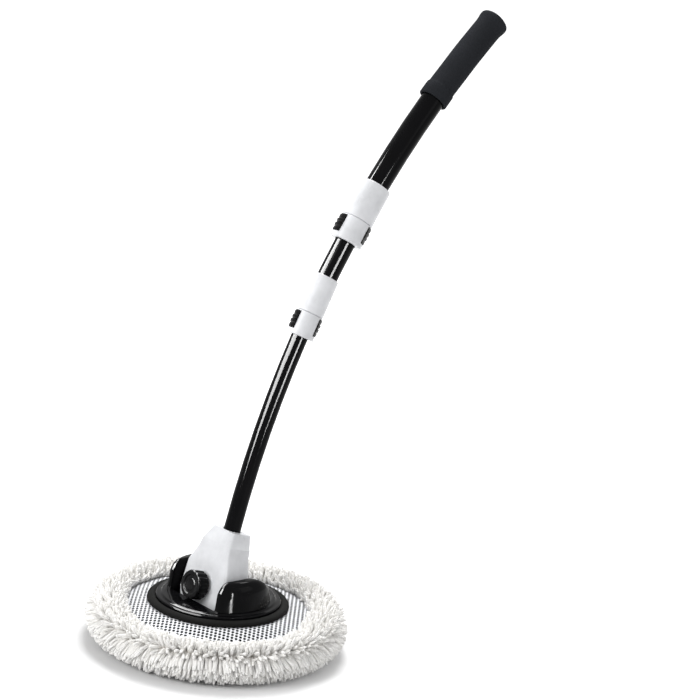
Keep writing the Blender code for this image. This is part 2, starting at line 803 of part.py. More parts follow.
cut(neck, layered("heel_tool", [(heel, 0), (heel, NECK_BACK + OVERRUN)], None, neck_place))
SOCKET_RADIUS = LOWER_TUBE_RADIUS + GAP
socket_loop = [
    (SOCKET_FLOOR, 0),
    (SOCKET_FLOOR, SOCKET_RADIUS),
    (NECK_TOP + OVERRUN, SOCKET_RADIUS),
    (NECK_TOP + OVERRUN, 0),
]
cut(neck, bent("socket_tool", socket_loop, None, False))
BOLT_HOLE = BOLT_RADIUS + GAP
bolt_hole_loop = [
    (-NECK_FRONT - OVERRUN, 0),
    (-NECK_FRONT - OVERRUN, BOLT_HOLE),
    (NECK_BACK + OVERRUN, BOLT_HOLE),
    (NECK_BACK + OVERRUN, 0),
]
bolt_hole = turned("bolt_hole_tool", bolt_hole_loop, None, BACK, centre=PIVOT, sides=POLE_SIDES)
cut(neck, bolt_hole)

# Pivot block: hub between the neck plates, with the cross axle
HUB_FRONT = SLOT_FRONT - GAP
HUB_BACK = SLOT_BACK - GAP
hub_loop = [(-HUB_FRONT, 0), (-HUB_FRONT, HUB_RADIUS), (HUB_BACK, HUB_RADIUS), (HUB_BACK, 0)]
pivot_block = turned("pivot_block", hub_loop, "black_satin", BACK, centre=PIVOT, sides=POLE_SIDES)
axle_loop = [(-AXLE_END, 0), (-AXLE_END, AXLE_RADIUS), (AXLE_END, AXLE_RADIUS), (AXLE_END, 0)]
add(pivot_block, turned("axle_tool", axle_loop, None, SIDE, centre=PIVOT, sides=POLE_SIDES))
cut(pivot_block, bolt_hole)

# Pivot bolt, washers and clamp knob
KNOB_BACK = -NECK_FRONT - GAP - WASHER_THICKNESS - GAP
KNOB_FRONT = KNOB_BACK - KNOB_LENGTH
BOLT_SEAT = NECK_BACK + GAP + WASHER_THICKNESS + GAP
BOLT_TIP = KNOB_BACK - KNOB_BORE_DEPTH + GAP
bolt_loop = [
    (BOLT_TIP, 0),
    (BOLT_TIP, BOLT_RADIUS),
    (BOLT_SEAT, BOLT_RADIUS),
    (BOLT_SEAT, BOLT_HEAD_RADIUS),
    (BOLT_SEAT + BOLT_HEAD_HEIGHT - BOLT_HEAD_ROUND, BOLT_HEAD_RADIUS),
    (BOLT_SEAT + BOLT_HEAD_HEIGHT, BOLT_HEAD_RADIUS - BOLT_HEAD_ROUND),
    (BOLT_SEAT + BOLT_HEAD_HEIGHT, 0),
]
turned("pivot_bolt", bolt_loop, "steel", BACK, centre=PIVOT, sides=INNER_SIDES)
front_washer = ring_loop(BOLT_HOLE, WASHER_RADIUS, KNOB_BACK + GAP, -NECK_FRONT - GAP)
turned("front_washer", front_washer, "steel", BACK, closed=True, centre=PIVOT, sides=INNER_SIDES)
back_washer = ring_loop(BOLT_HOLE, WASHER_RADIUS, NECK_BACK + GAP, BOLT_SEAT - GAP)
turned("back_washer", back_washer, "steel", BACK, closed=True, centre=PIVOT, sides=INNER_SIDES)


def knob_groove(step):
    return KNOB_GROOVE if step % KNOB_LOBE_STEPS == 0 else 0


knob_loop = [
    (KNOB_FRONT + KNOB_RECESS / 2, 0),
    (KNOB_FRONT + KNOB_RECESS / 2, KNOB_BUTTON_RADIUS - KNOB_RECESS / 2),
    (KNOB_FRONT + KNOB_RECESS, KNOB_BUTTON_RADIUS),
    (KNOB_FRONT + KNOB_RECESS, KNOB_FACE_RADIUS - KNOB_RECESS / 2),
    (KNOB_FRONT, KNOB_FACE_RADIUS),
    (KNOB_FRONT, KNOB_RADIUS - KNOB_ROUND),
    (KNOB_FRONT + KNOB_ROUND, KNOB_RADIUS),
    (KNOB_BACK - KNOB_ROUND, KNOB_RADIUS),
    (KNOB_BACK, KNOB_BACK_RADIUS),
    (KNOB_BACK, BOLT_HOLE),
    (KNOB_BACK - KNOB_BORE_DEPTH, BOLT_HOLE),
    (KNOB_BACK - KNOB_BORE_DEPTH, 0),
]
KNOB_SIDES = KNOB_LOBES * KNOB_LOBE_STEPS
ribbed = ((6, 7), knob_groove)
turned("clamp_knob", knob_loop, "black_satin", BACK, centre=PIVOT, sides=KNOB_SIDES, lobes=ribbed)

# Lower tube, fixed in the neck socket
TUBE_FOOT = SOCKET_FLOOR + GAP
LOWER_BORE = LOWER_TUBE_RADIUS - TUBE_WALL
lower_loop = ring_loop(LOWER_BORE, LOWER_TUBE_RADIUS, TUBE_FOOT, LOWER_TUBE_TOP)
lower_tube = bent("lower_tube", lower_loop, "black_tube", True, PIVOT)

# Screw through the back of the neck into the lower tube
screw_seat = NECK_BACK + GAP
screw_tip = LOWER_BORE - NECK_SCREW_REACH
neck_screw_loop = [
    (screw_tip, 0),
    (screw_tip, NECK_SCREW_RADIUS),
    (screw_seat, NECK_SCREW_RADIUS),
    (screw_seat, NECK_SCREW_HEAD_RADIUS),
    (screw_seat + NECK_SCREW_HEAD, NECK_SCREW_HEAD_RADIUS),
    (screw_seat + NECK_SCREW_HEAD, 0),
]
screw_spot = PIVOT + RISE * NECK_SCREW_STATION
turned("neck_screw", neck_screw_loop, "steel", BACK, centre=screw_spot)
neck_screw_hole = [
    (screw_tip - GAP, 0),
    (screw_tip - GAP, NECK_SCREW_RADIUS + GAP),
    (screw_seat + OVERRUN, NECK_SCREW_RADIUS + GAP),
    (screw_seat + OVERRUN, 0),
]
screw_tool = turned("neck_screw_tool", neck_screw_hole, None, BACK, centre=screw_spot)
cut(neck, screw_tool)
cut(lower_tube, screw_tool)

# Plug on top of the lower tube, which runs in the middle tube
MIDDLE_BORE = MIDDLE_TUBE_RADIUS - TUBE_WALL
PLUG_SEAT = LOWER_TUBE_TOP + GAP
lower_plug_loop = [
    (PLUG_SEAT - PLUG_SPIGOT, 0),
    (PLUG_SEAT - PLUG_SPIGOT, LOWER_BORE - GAP),
    (PLUG_SEAT, LOWER_BORE - GAP),
    (PLUG_SEAT, MIDDLE_BORE - RUN_GAP),
    (PLUG_SEAT + GUIDE_LENGTH, MIDDLE_BORE - RUN_GAP),
    (PLUG_SEAT + GUIDE_LENGTH, 0),
]
bent("lower_tube_plug", lower_plug_loop, "nylon", False, PIVOT, INNER_SIDES)

# Middle tube and its guide bush
MIDDLE_FOOT = LOWER_LOCK_STATION + RING_LENGTH + COLLAR_SEAT
middle_loop = ring_loop(MIDDLE_BORE, MIDDLE_TUBE_RADIUS, MIDDLE_FOOT, MIDDLE_TOP)
bent("middle_tube", middle_loop, "black_tube", True)
UPPER_BORE = UPPER_TUBE_RADIUS - TUBE_WALL
GUIDE_FOOT = MIDDLE_TOP + GAP
GUIDE_TOP = GUIDE_FOOT + GUIDE_LENGTH
middle_guide = ring_loop(LOWER_TUBE_RADIUS + RUN_GAP, UPPER_BORE - RUN_GAP, GUIDE_FOOT, GUIDE_TOP)
bent("middle_tube_guide", middle_guide, "nylon", True, sides=INNER_SIDES)

# Upper tube and its end plug
UPPER_FOOT = UPPER_LOCK_STATION + RING_LENGTH + COLLAR_SEAT
upper_loop = ring_loop(UPPER_BORE, UPPER_TUBE_RADIUS, UPPER_FOOT, UPPER_TOP)
bent("upper_tube", upper_loop, "black_tube", True)
upper_plug_loop = [
    (UPPER_TOP - PLUG_SPIGOT, 0),
    (UPPER_TOP - PLUG_SPIGOT, UPPER_BORE - GAP),
    (UPPER_TOP + GAP, UPPER_BORE - GAP),
    (UPPER_TOP + GAP, UPPER_TUBE_RADIUS),
    (PLUG_TOP, UPPER_TUBE_RADIUS),
    (PLUG_TOP, 0),
]
bent("upper_tube_plug", upper_plug_loop, "nylon", False, sides=INNER_SIDES)


# Twist lock: a collar on the outer tube, a turning ring, its pads and a collet
def twist_lock(label, station, collar_length, radius, outer_tube, inner_tube):
    ring_top = station + RING_LENGTH
    collar_foot = ring_top + GAP
    collar_top = collar_foot + collar_length
    tube_foot = ring_top + COLLAR_SEAT
    passage = inner_tube + RUN_GAP
    spigot = radius - (radius - inner_tube) * LOCK_WALL_SHARE - RUN_GAP
    top_radius = radius - COLLAR_TAPER
    collar_loop = [
        (collar_foot - SPIGOT_LENGTH, passage + SPIGOT_WALL),
        (collar_foot - SPIGOT_LENGTH, spigot),
        (collar_foot, spigot),
        (collar_foot, radius - EDGE_ROUND),
        (collar_foot + EDGE_ROUND, radius),
        (collar_top - EDGE_ROUND, top_radius),
        (collar_top, top_radius - EDGE_ROUND),
        (collar_top, outer_tube + GAP),
        (tube_foot - GAP, outer_tube + GAP),
        (tube_foot - GAP, passage + SPIGOT_WALL),
    ]
    bent(label + "_lock_collar", collar_loop, "white_gloss", True)
    cup = spigot + RUN_GAP
    floor = station + RING_FLOOR
    ring_spot = arc_frame(station + RING_LENGTH / 2)[0]
    ring_profile = [
        (station, passage),
        (station, radius + RING_FLARE - EDGE_ROUND),
        (station + EDGE_ROUND, radius + RING_FLARE),
        (ring_top - EDGE_ROUND, radius),
        (ring_top, radius - EDGE_ROUND),
        (ring_top, cup),
        (floor, cup),
        (floor, passage),
    ]
    ring = bent(label + "_lock_ring", ring_profile, "white_gloss", True, ring_spot)
    collet_foot = floor + GAP
    collet_top = collar_foot - SPIGOT_LENGTH - GAP
    collet = ring_loop(passage, cup - RUN_GAP, collet_foot, collet_top)
    bent(label + "_lock_collet", collet, "nylon", True, sides=INNER_SIDES)
    pad_low = station + PAD_FOOT_MARGIN
    pad_high = ring_top - PAD_TOP_MARGIN
    pad_base = radius - PAD_DEPTH
    rib = (pad_high - pad_low) / (2 * PAD_RIBS)
    pad_loop = [(pad_low, pad_base)]
    for number in range(PAD_RIBS):
        low = pad_low + 2 * rib * number
        pad_loop.append((low, radius + RING_FLARE))
        proud = PAD_PROUD if 0 < number < PAD_RIBS - 1 else PAD_PROUD / 2
        pad_loop.append((low + rib / 2, radius + RING_FLARE + proud))
        pad_loop.append((low + rib * 3 / 2, radius + RING_FLARE + proud))
    pad_loop.append((pad_high, radius + RING_FLARE))
    pad_loop.append((pad_high, pad_base))
    slack = GAP / radius
    pocket = ring_loop(pad_base - GAP, radius + OVERRUN, pad_low - GAP, pad_high + GAP)
    for number in range(PADS_PER_RING):
        middle = PAD_PHASE + PAD_SPACING * number
        pad_name = label + "_lock_pad_" + str(number + 1)
        bent_sector(pad_name, pad_loop, "black_satin", middle, PAD_HALF_ANGLE, PAD_STEPS, ring_spot)
        tool_name = label + "_pocket_tool_" + str(number + 1)
        pocket_half = PAD_HALF_ANGLE + slack
        cut(ring, bent_sector(tool_name, pocket, None, middle, pocket_half, PAD_STEPS, ring_spot))


lower_radii = (LOWER_LOCK_RADIUS, MIDDLE_TUBE_RADIUS, LOWER_TUBE_RADIUS)
upper_radii = (UPPER_LOCK_RADIUS, UPPER_TUBE_RADIUS, MIDDLE_TUBE_RADIUS)
twist_lock("lower", LOWER_LOCK_STATION, LOWER_COLLAR_LENGTH, *lower_radii)
twist_lock("upper", UPPER_LOCK_STATION, UPPER_COLLAR_LENGTH, *upper_radii)

# Foam grip with a band at its foot and a flared, closed top
BAND_TOP = GRIP_FOOT_STATION + GRIP_BAND_LENGTH
FLARE_FOOT = GRIP_TOP_STATION - GRIP_CAP_ROUND - GRIP_FLARE_LENGTH
grip_loop = [
    (GRIP_TOP_STATION, 0),
    (GRIP_TOP_STATION - GRIP_DOME / 4, GRIP_FLARE_RADIUS / 2),
    (GRIP_TOP_STATION - GRIP_DOME, GRIP_FLARE_RADIUS - GRIP_CAP_ROUND / 2),
    (GRIP_TOP_STATION - GRIP_CAP_ROUND, GRIP_FLARE_RADIUS),
    (GRIP_TOP_STATION - GRIP_CAP_ROUND * 2, GRIP_FLARE_RADIUS),
    (FLARE_FOOT, GRIP_RADIUS),
    (BAND_TOP + GRIP_STEP, GRIP_RADIUS),
    (BAND_TOP, GRIP_BAND_RADIUS - GRIP_BAND_TAPER),
    (GRIP_FOOT_STATION + GRIP_STEP, GRIP_BAND_RADIUS),
    (GRIP_FOOT_STATION, GRIP_BAND_RADIUS - GRIP_STEP),
    (GRIP_FOOT_STATION, UPPER_TUBE_RADIUS + GAP),
    (GRIP_TOP_STATION - GRIP_CAP, UPPER_TUBE_RADIUS + GAP),
    (GRIP_TOP_STATION - GRIP_CAP, 0),
]
bent("grip", grip_loop, "black_foam", False)
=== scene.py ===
import json
from math import cos, pi, radians, sin, tan
import bpy
import numpy as np
from mathutils import Matrix, Quaternion, Vector

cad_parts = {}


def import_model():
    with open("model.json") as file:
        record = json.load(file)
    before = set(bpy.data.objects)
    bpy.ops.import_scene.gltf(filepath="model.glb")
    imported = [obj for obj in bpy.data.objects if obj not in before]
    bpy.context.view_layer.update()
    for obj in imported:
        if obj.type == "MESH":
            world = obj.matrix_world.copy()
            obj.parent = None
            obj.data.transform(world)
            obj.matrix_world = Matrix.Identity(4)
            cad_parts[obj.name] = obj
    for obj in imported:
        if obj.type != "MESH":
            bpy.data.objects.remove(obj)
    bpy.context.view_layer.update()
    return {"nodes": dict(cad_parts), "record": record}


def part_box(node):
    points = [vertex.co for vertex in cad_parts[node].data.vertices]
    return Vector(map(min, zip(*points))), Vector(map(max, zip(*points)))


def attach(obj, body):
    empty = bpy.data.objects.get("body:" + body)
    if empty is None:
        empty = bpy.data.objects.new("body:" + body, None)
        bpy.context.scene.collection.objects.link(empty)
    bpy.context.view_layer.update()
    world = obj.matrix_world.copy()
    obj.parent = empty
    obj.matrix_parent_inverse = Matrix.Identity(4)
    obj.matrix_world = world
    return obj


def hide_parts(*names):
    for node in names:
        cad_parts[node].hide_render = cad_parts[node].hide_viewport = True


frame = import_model()
nodes = frame["nodes"]
rng = np.random.default_rng(7)

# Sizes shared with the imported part, in metres
PIVOT_FORWARD = 0.0024
ARC_CENTRE = (1.032852, -0.105254)
ARC_RADIUS = 1.0476
ARC_START = 0.045
LEAN = radians(11.6)
RIM_CENTRE = 0.1125
RIM_HEIGHT = 0.0270
RIM_OUT = (0.0245, 0.0268)
BACKING_CENTRE = (0.1105, 0.0205)
BACKING_HALF = (0.0058, 0.0125)
NET_INNER = 0.0660
NET_EDGE = 0.0735
NET_OUTER = 0.1040
NET_REACH = 0.1006
NET_TOP = 0.0440
NET_FALL = 0.0063
NET_CURVE = 1.25
NET_THICKNESS = 0.0004

# ------------------------------------------------------------------ camera
CAMERA_AZIMUTH = radians(47.672)
CAMERA_ELEVATION = radians(14.409)
CAMERA_ROLL = radians(5.791)
CAMERA_DISTANCE = 2.617096
CAMERA_FIELD = radians(15.999)
CAMERA_OFFSET = (-137.374, -291.747)
CAMERA_FAR = 100
FRAME_WIDTH = 700


def place_camera():
    turn, rise = CAMERA_AZIMUTH, CAMERA_ELEVATION
    focal = FRAME_WIDTH / 2 / tan(CAMERA_FIELD / 2)
    ahead = Vector((-sin(turn) * cos(rise), cos(turn) * cos(rise), -sin(rise)))
    side = Vector((cos(turn), sin(turn), 0))
    top = side.cross(ahead)
    right = side * cos(CAMERA_ROLL) + top * sin(CAMERA_ROLL)
    up = top * cos(CAMERA_ROLL) - side * sin(CAMERA_ROLL)
    scale = CAMERA_DISTANCE / focal
    place = -ahead * CAMERA_DISTANCE - right * CAMERA_OFFSET[0] * scale - up * CAMERA_OFFSET[1] * scale
    place.y -= PIVOT_FORWARD
    data = bpy.data.cameras.new("camera")
    data.sensor_fit = "HORIZONTAL"
    data.angle = CAMERA_FIELD
    data.clip_end = CAMERA_FAR
    camera = bpy.data.objects.new("camera", data)
    bpy.context.scene.collection.objects.link(camera)
    columns = (right, up, -ahead, place)
    rows = [[column[row] for column in columns] for row in range(3)]
    camera.matrix_world = Matrix(rows + [[0, 0, 0, 1]])
    bpy.context.scene.camera = camera


place_camera()
bpy.context.scene.view_settings.view_transform = "Standard"


# ------------------------------------------------------------------ materials
class Look:
    """A Principled material with a short way to add and join nodes."""

    def __init__(self, name, colour, roughness, **sockets):
        self.material = bpy.data.materials.new(name)
        self.material.use_nodes = True
        self.tree = self.material.node_tree
        self.shader = self.tree.nodes["Principled BSDF"]
        self.set("Base Color", (*colour, 1))
        self.set("Roughness", roughness)
        for socket, value in sockets.items():
            self.set(socket.replace("_", " "), value)

    def set(self, socket, value):
        self.shader.inputs[socket].default_value = value

    def node(self, kind, settings=(), **inputs):
        made = self.tree.nodes.new("ShaderNode" + kind)
        for key, value in dict(settings).items():
            setattr(made, key, value)
        for key, value in inputs.items():
            self.feed(made, key.replace("_", " "), value)
        return made

    def feed(self, node, socket, value):
        target = node.inputs[int(socket) if socket.isdigit() else socket]
        if isinstance(value, bpy.types.NodeSocket):
            self.tree.links.new(value, target)
        else:
            target.default_value = value

    def place(self):
        return self.node("TexCoord").outputs["Object"]

    def noise(self, scale, detail=3, roughness=0.55, vector=None):
        made = self.node("TexNoise", Scale=scale, Detail=detail, Roughness=roughness,
                         Vector=vector or self.place())
        return made.outputs["Fac"]

    def ramp(self, value, low, high, out_low, out_high):
        made = self.node("MapRange", Value=value, From_Min=low, From_Max=high,
                         To_Min=out_low, To_Max=out_high)
        return made.outputs["Result"]

    def blend(self, share, first, second):
        made = self.node("Mix", {"data_type": "RGBA"})
        self.feed(made, "0", share)
        self.feed(made, "6", first if isinstance(first, bpy.types.NodeSocket) else (*first, 1))
        self.feed(made, "7", second if isinstance(second, bpy.types.NodeSocket) else (*second, 1))
        return made.outputs[2]

    def colour_from(self, output):
        self.tree.links.new(output, self.shader.inputs["Base Color"])

    def roughness_from(self, output):
        self.tree.links.new(output, self.shader.inputs["Roughness"])

    def bump(self, height, distance, strength=1.0):
        made = self.node("Bump", Height=height, Distance=distance, Strength=strength)
        self.tree.links.new(made.outputs["Normal"], self.shader.inputs["Normal"])


def speckled(name, colour, roughness, grain, depth, spread=0.04, **sockets):
    """A moulded or foamed surface: fine grain in relief, faint cloudiness in colour and roughness."""
    look = Look(name, colour, roughness, **sockets)
    cloud = look.noise(35, 4)
    darker = [part * 0.90 for part in colour]
    lighter = [min(part * 1.08, 1) for part in colour]
    look.colour_from(look.blend(look.ramp(cloud, 0.35, 0.65, 0, 1), darker, lighter))
    look.roughness_from(look.ramp(cloud, 0.3, 0.7, roughness - spread, roughness + spread))
    look.bump(look.noise(grain, 2), depth)
    return look.material


def yarn_look():
    look = Look("chenille_yarn", (0.80, 0.77, 0.73), 0.92, Specular_IOR_Level=0.0)
    depth = look.node("Attribute", {"attribute_name": "depth"}).outputs["Fac"]
    tone = look.node("Attribute", {"attribute_name": "tone"}).outputs["Fac"]
    fuzz = look.noise(1100, 3, 0.65)
    body = look.blend(tone, (0.94, 0.93, 0.905), (0.965, 0.96, 0.95))
    tufted = look.blend(look.ramp(fuzz, 0.35, 0.62, 0.22, 0), body, (0.80, 0.77, 0.73))
    # Towards the root (depth 0) the strand colour is pulled towards a warm brown: painted shade deep
    # between the strands.
    look.colour_from(look.blend(look.ramp(depth, 0.0, 0.5, 0.55, 0), tufted, (0.66, 0.60, 0.53)))
    look.bump(fuzz, 0.0007, 0.9)
    return look.material


def net_look():
    look = Look("net_yarn", (0.82, 0.83, 0.85), 0.75, Specular_IOR_Level=0.02)
    knit = look.noise(1500, 2)
    look.colour_from(look.blend(look.ramp(knit, 0.35, 0.65, 0, 1), (0.76, 0.77, 0.80), (0.88, 0.89, 0.91)))
    look.bump(knit, 0.0003)
    return look.material


GLOSS_BLACK = speckled("moulded_gloss_black", (0.004, 0.004, 0.0045), 0.08, 900, 0.00001, 0.02,
                       Specular_IOR_Level=0.05)
TUBE_BLACK = speckled("lacquered_tube_black", (0.004, 0.004, 0.0045), 0.07, 700, 0.00001, 0.02,
                      Specular_IOR_Level=0.04)
SATIN_BLACK = speckled("satin_black", (0.005, 0.005, 0.0055), 0.20, 1400, 0.00003, 0.05,
                       Specular_IOR_Level=0.05)
WHITE = speckled("moulded_white", (0.70, 0.708, 0.728), 0.30, 1200, 0.00002, 0.04,
                 Specular_IOR_Level=0.25)
FOAM = speckled("foam_black", (0.022, 0.0235, 0.027), 0.88, 2300, 0.00035, 0.04, Specular_IOR_Level=0.03)
CORE = speckled("core_foam_dark", (0.060, 0.062, 0.068), 0.95, 1600, 0.0004, 0.03, Specular_IOR_Level=0.0)
BAND = speckled("elastic_black", (0.010, 0.010, 0.0095), 0.66, 1900, 0.00015, 0.06, Specular_IOR_Level=0.04)
NYLON = speckled("nylon_natural", (0.52, 0.52, 0.51), 0.45, 1200, 0.00003, 0.05)
STEEL = speckled("plated_steel", (0.60, 0.60, 0.61), 0.28, 2600, 0.00002, 0.06, Metallic=1.0)
YARN = yarn_look()
NET = net_look()

LOOKS = {"black_gloss": GLOSS_BLACK, "black_tube": TUBE_BLACK, "black_satin": SATIN_BLACK,
         "black_foam": FOAM, "black_band": BAND, "white_gloss": WHITE, "white_net": NET,
         "pile": YARN, "core_foam": CORE, "steel": STEEL, "nylon": NYLON}


# ------------------------------------------------------------------ CAD nodes
SHARP_ANGLE = radians(38)


def soft_normals():
    """A geometry node group: smooth shading, with edges sharp above an angle."""
    group = bpy.data.node_groups.new("soft_normals", "GeometryNodeTree")
    group.interface.new_socket("Geometry", in_out="INPUT", socket_type="NodeSocketGeometry")
    group.interface.new_socket("Geometry", in_out="OUTPUT", socket_type="NodeSocketGeometry")
    enter = group.nodes.new("NodeGroupInput")
    leave = group.nodes.new("NodeGroupOutput")
    angle = group.nodes.new("GeometryNodeInputMeshEdgeAngle")
    above = group.nodes.new("FunctionNodeCompare")
    above.operation = "GREATER_THAN"
    above.inputs["B"].default_value = SHARP_ANGLE
    normals = group.nodes.new("GeometryNodeSetMeshNormal")
    normals.mode = "SHARPNESS"
    group.links.new(angle.outputs["Unsigned Angle"], above.inputs["A"])
    group.links.new(enter.outputs[0], normals.inputs["Mesh"])
    normals.inputs["Remove Custom"].default_value = True
    group.links.new(above.outputs[0], normals.inputs["Edge Sharpness"])
    group.links.new(normals.outputs[0], leave.inputs[0])
    return group


NORMALS = soft_normals()
WELD_GAP = 0.000002
PLANAR_ANGLE = radians(0.4)
ROUND_ANGLE = radians(28)
ROUND_SEGMENTS = 3
EDGE_ROUNDS = {"neck": 0.0011, "head_housing": 0.0006, "clamp_knob": 0.0004, "lower_lock_collar": 0.0003,
               "upper_lock_collar": 0.0003, "lower_lock_ring": 0.0003, "upper_lock_ring": 0.0003}
for subpart in frame["record"]["subparts"]:
    node = nodes[subpart["node"]]
    node.data.materials.clear()
    node.data.materials.append(LOOKS[subpart["material_slot"]])
    weld = node.modifiers.new("weld", "WELD")
    weld.merge_threshold = WELD_GAP
    if node.name in EDGE_ROUNDS:
        planar = node.modifiers.new("planar", "DECIMATE")
        planar.decimate_type = "DISSOLVE"
        planar.angle_limit = PLANAR_ANGLE
        bevel = node.modifiers.new("bevel", "BEVEL")
        bevel.width = EDGE_ROUNDS[node.name]
        bevel.segments = ROUND_SEGMENTS
        bevel.angle_limit = ROUND_ANGLE
    smooth = node.modifiers.new("normals", "NODES")
    smooth.node_group = NORMALS


# ------------------------------------------------------------------ builders
def piece(name, points, faces, look, body, replaced, attributes=()):
    mesh = bpy.data.meshes.new(name)
    mesh.from_pydata([tuple(point) for point in points], [], faces)
    mesh.validate()
    mesh.materials.append(look)
    mesh.shade_smooth()
    for key, values in dict(attributes).items():
        mesh.attributes.new(key, "FLOAT", "POINT").data.foreach_set("value", np.asarray(values, np.float32))
    made = bpy.data.objects.new(name, mesh)
    bpy.context.scene.collection.objects.link(made)
    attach(made, body)
    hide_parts(*replaced)
    return made


STRAND_SIDES = 6
ROOT_ROUND = 0.4


def tubes(paths, radii, tips, side_hint, tone):
    """Points, faces, tone and depth of closed round-ended strands along paths (count, stations, 3)."""
    count, stations, _ = paths.shape
    sides = STRAND_SIDES
    ahead = np.gradient(paths, axis=1)
    ahead /= np.linalg.norm(ahead, axis=2, keepdims=True)
    across = np.cross(ahead, side_hint[:, None, :])
    across /= np.linalg.norm(across, axis=2, keepdims=True)
    other = np.cross(ahead, across)
    angles = np.arange(sides) * 2 * pi / sides
    ring = (across[:, :, None, :] * np.cos(angles)[None, None, :, None]
            + other[:, :, None, :] * np.sin(angles)[None, None, :, None])
    points = paths[:, :, None, :] + ring * radii[:, :, None, None]
    root = paths[:, 0] - ahead[:, 0] * radii[:, 0, None] * ROOT_ROUND
    tip = paths[:, -1] + ahead[:, -1] * tips[:, None]
    size = stations * sides + 2
    packed = np.concatenate([points.reshape(count, -1, 3), root[:, None], tip[:, None]], axis=1)
    faces = []
    for step in range(stations - 1):
        for side in range(sides):
            after = (side + 1) % sides
            low, high = step * sides, (step + 1) * sides
            faces.append((low + side, low + after, high + after, high + side))
    last = (stations - 1) * sides
    for side in range(sides):
        after = (side + 1) % sides
        faces.append((stations * sides, after, side))
        faces.append((stations * sides + 1, last + side, last + after))
    offsets = np.arange(count) * size
    all_faces = [tuple(index + offset for index in face) for offset in offsets for face in faces]
    steps = np.linspace(0, 1, stations)
    depth = np.concatenate([np.repeat(steps, sides), [0, 1]])
    return packed.reshape(-1, 3), all_faces, np.repeat(tone, size), np.tile(depth, count)


def net_height(radius):
    share = np.clip((radius - NET_EDGE) / (NET_REACH - NET_EDGE), 0, 1.2)
    return NET_TOP - NET_FALL * share ** NET_CURVE


# ------------------------------------------------------------------ chenille rim
SECTORS = 8
SECTOR = 2 * pi / SECTORS
STATIONS = 8
YARN_RADIUS = 0.00160
TAPER = np.array([0.70, 0.90, 1.0, 1.03, 1.04, 1.03, 0.94, 0.66])
TIP_ROUND = 0.8
SIDE_CURVE = 1.4
GROUND_GAP = 0.0002
GOLDEN = 0.618034
FRONT = CAMERA_AZIMUTH - pi / 2
FRONT_FLATTENING = 0.46
# Rows of the fringe: how many in a sector, root radius, root height, first slope and last slope in degrees
FRINGE_ROWS = [(46, 0.1145, 0.0310, -14, -40), (44, 0.1142, 0.0285, -20, -46),
               (42, 0.1136, 0.0258, -26, -51), (38, 0.1128, 0.0230, -33, -56),
               (34, 0.1118, 0.0200, -40, -60), (30, 0.1108, 0.0165, -48, -66),
               (26, 0.1096, 0.0130, -60, -74)]
RIDGE_COUNT = 52
RIDGE_ROOT = (0.1150, 0.0302)
TOP_COUNT = 270
TOP_ROOT = (0.1172, 0.0292)
TOP_WIDTH = 0.0154
FILLER_COUNT = 110
FILLER_HALF = (0.0040, 0.0100)
WAVE_NUMBERS = (5, 9, 14, 23, 37)
waves = [(n, rng.uniform(0, 2 * pi), rng.uniform(0.6, 1.0)) for n in WAVE_NUMBERS]


def sway(turn, phase_step=0):
    total = np.zeros_like(turn)
    for number, phase, weight in waves:
        total += weight * np.sin(number * turn + phase + phase_step * (number % 3 - 1)) / len(waves)
    return total


def smooth_step(value, low, high):
    share = np.clip((value - low) / (high - low), 0, 1)
    return share * share * (3 - 2 * share)


def looseness(turn):
    """The rim is combed flat towards the front (0) and stands up elsewhere (1)."""
    return 1 - smooth_step(np.cos(turn - FRONT), 0.1, 0.8)


def reach_to_rim(turn, radius, height, slope):
    """The length of a straight line from a root to the rim's outer surface."""
    flat = 1 - FRONT_FLATTENING * (1 - looseness(turn)) * smooth_step(slope, radians(30), radians(95))
    half, tall = RIM_OUT[0], RIM_OUT[1] * flat
    across, up = (radius - RIM_CENTRE) / half, (height - RIM_HEIGHT) / tall
    run, rise = np.cos(slope) / half, np.sin(slope) / tall
    square, mixed = run * run + rise * rise, across * run + up * rise
    inside = mixed * mixed - square * (across * across + up * up - 1)
    return (np.sqrt(np.maximum(inside, 0)) - mixed) / square


def rim_family(turn, radius, height, first, last, side, share_of_reach):
    """Strands from a root at (radius, height), whose slope above outward goes from first to last."""
    count = len(turn)
    length = share_of_reach * reach_to_rim(turn, radius, height, (first + last) / 2)
    share = np.linspace(0, 1, STATIONS)
    slope = first[:, None] + (last - first)[:, None] * share[None, :]
    middle = (slope[:, 1:] + slope[:, :-1]) / 2
    step = length[:, None] / (STATIONS - 1)
    out = np.concatenate([np.zeros((count, 1)), np.cumsum(step * np.cos(middle), axis=1)], axis=1)
    rise = np.concatenate([np.zeros((count, 1)), np.cumsum(step * np.sin(middle), axis=1)], axis=1)
    radii = radius[:, None] + out
    heights = height[:, None] + rise
    phi = turn[:, None] + side[:, None] * share[None, :] ** SIDE_CURVE
    thick = YARN_RADIUS * rng.uniform(0.90, 1.10, count)[:, None] * TAPER[None, :]
    net = np.where(radii < NET_OUTER, net_height(radii) + thick, 0)
    heights = np.maximum(heights, np.maximum(net, thick + GROUND_GAP))
    paths = np.stack([radii * np.cos(phi), radii * np.sin(phi), heights], axis=2)
    hint = np.stack([-np.sin(turn), np.cos(turn), 0 * turn], axis=1)
    return tubes(paths, thick, thick[:, -1] * TIP_ROUND, hint, rng.uniform(0, 1, count))


